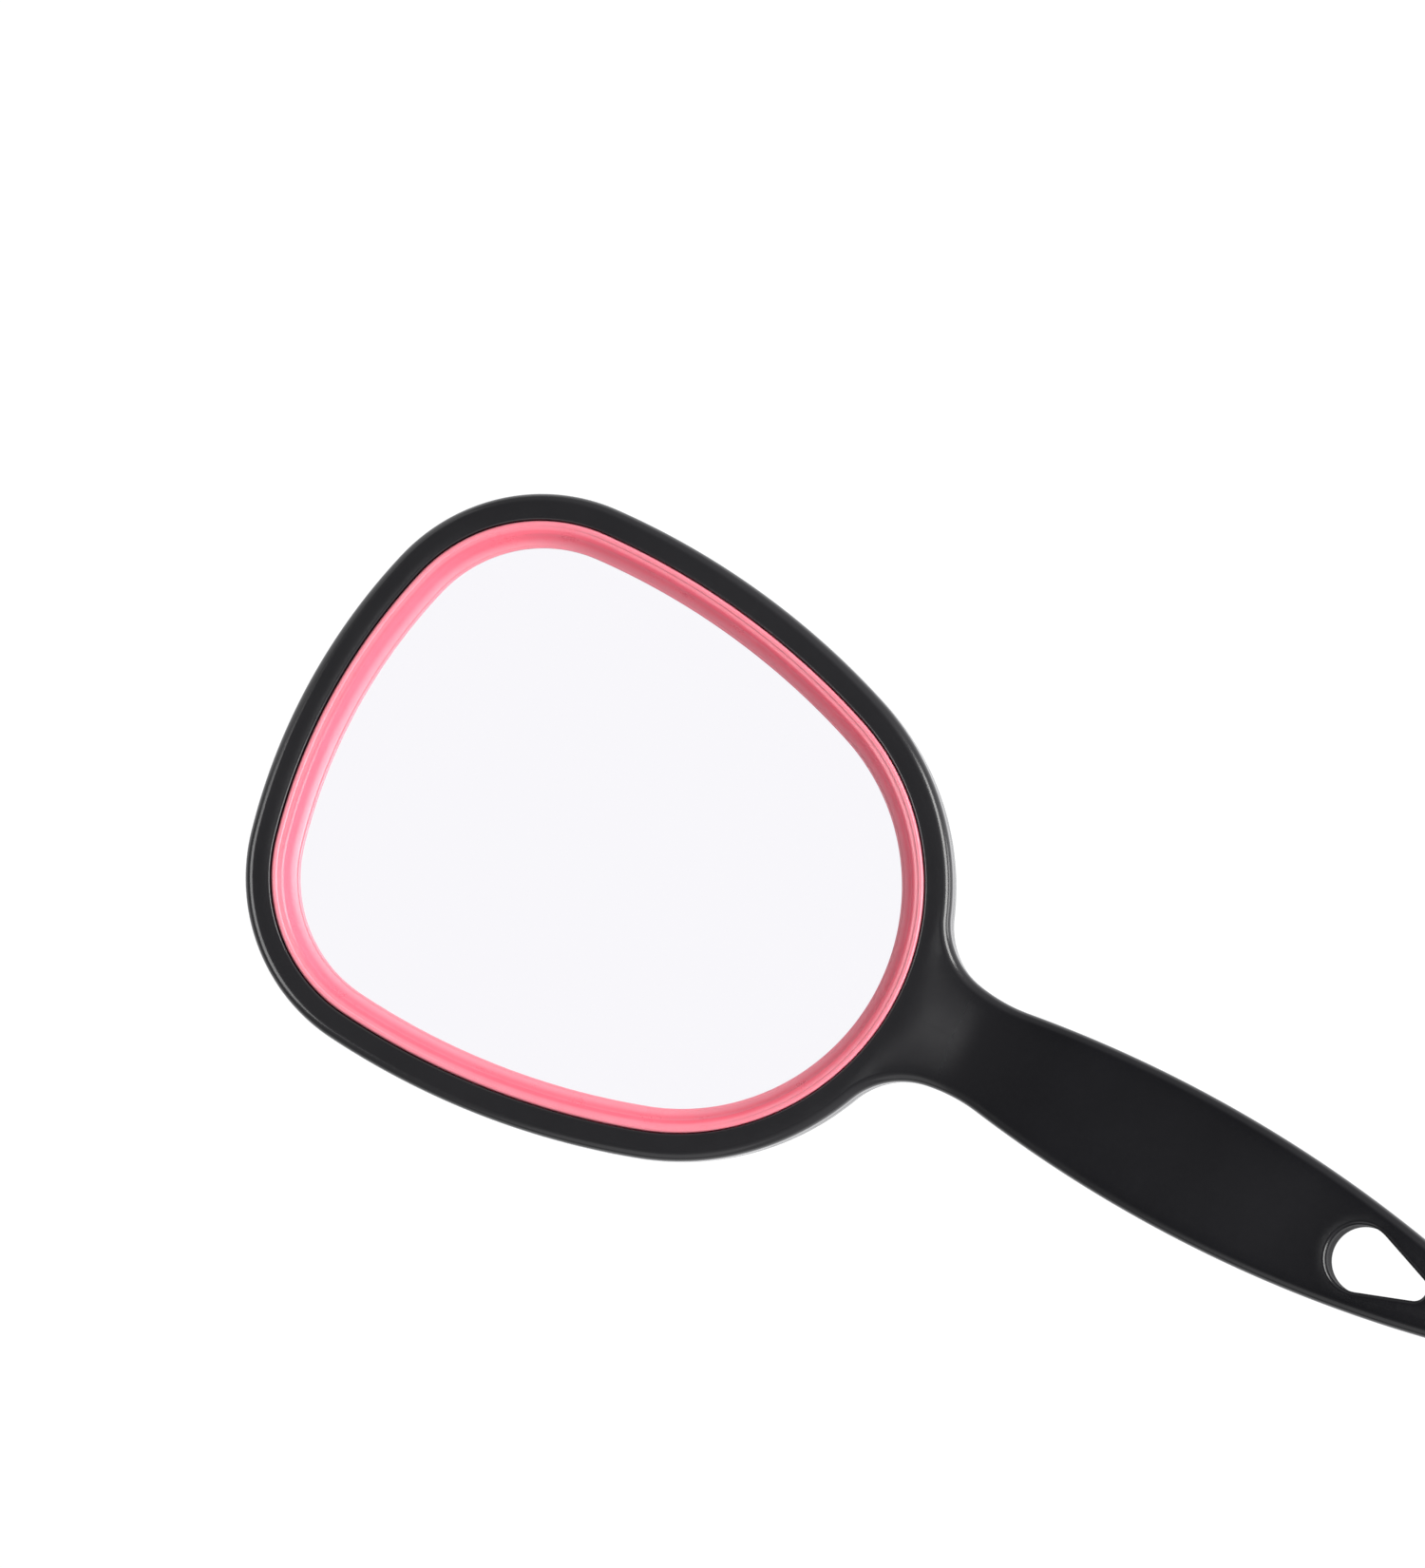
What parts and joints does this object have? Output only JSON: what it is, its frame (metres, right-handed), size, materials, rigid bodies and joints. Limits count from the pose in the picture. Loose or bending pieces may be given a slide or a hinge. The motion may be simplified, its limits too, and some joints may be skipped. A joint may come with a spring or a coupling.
{
  "type": "hand mirror",
  "caption": "Small hand mirror with an egg-shaped head: black plastic two-shell case and handle, stepped pink bezel ring, recessed glass and a tear-shaped hanging hole.",
  "frame": {"origin": "centre of the head, on the flat back face", "axes": "the mirror face looks along -Y, +Z runs from the handle to the head, +X to the right when looking at the face"},
  "size_m": [0.0818, 0.0073, 0.18],
  "materials": {
    "black_shell": "satin moulded ABS",
    "black_shell_rear": "satin moulded ABS, fine texture",
    "pink_ring": "semi-gloss moulded ABS",
    "glass": "clear float glass, ground edge",
    "silver_coat": "silvered, painted on the rear",
    "foam": "closed-cell foam tape",
    "screw_steel": "zinc-plated"
  },
  "bodies": {
    "root": {"front_frame": "black_shell", "back_cover": "black_shell_rear", "bezel_ring": "pink_ring", "mirror_glass": "glass", "mirror_silvering": "silver_coat", "foam_pads": "foam", "case_screws": "screw_steel"}
  },
  "joints": []
}
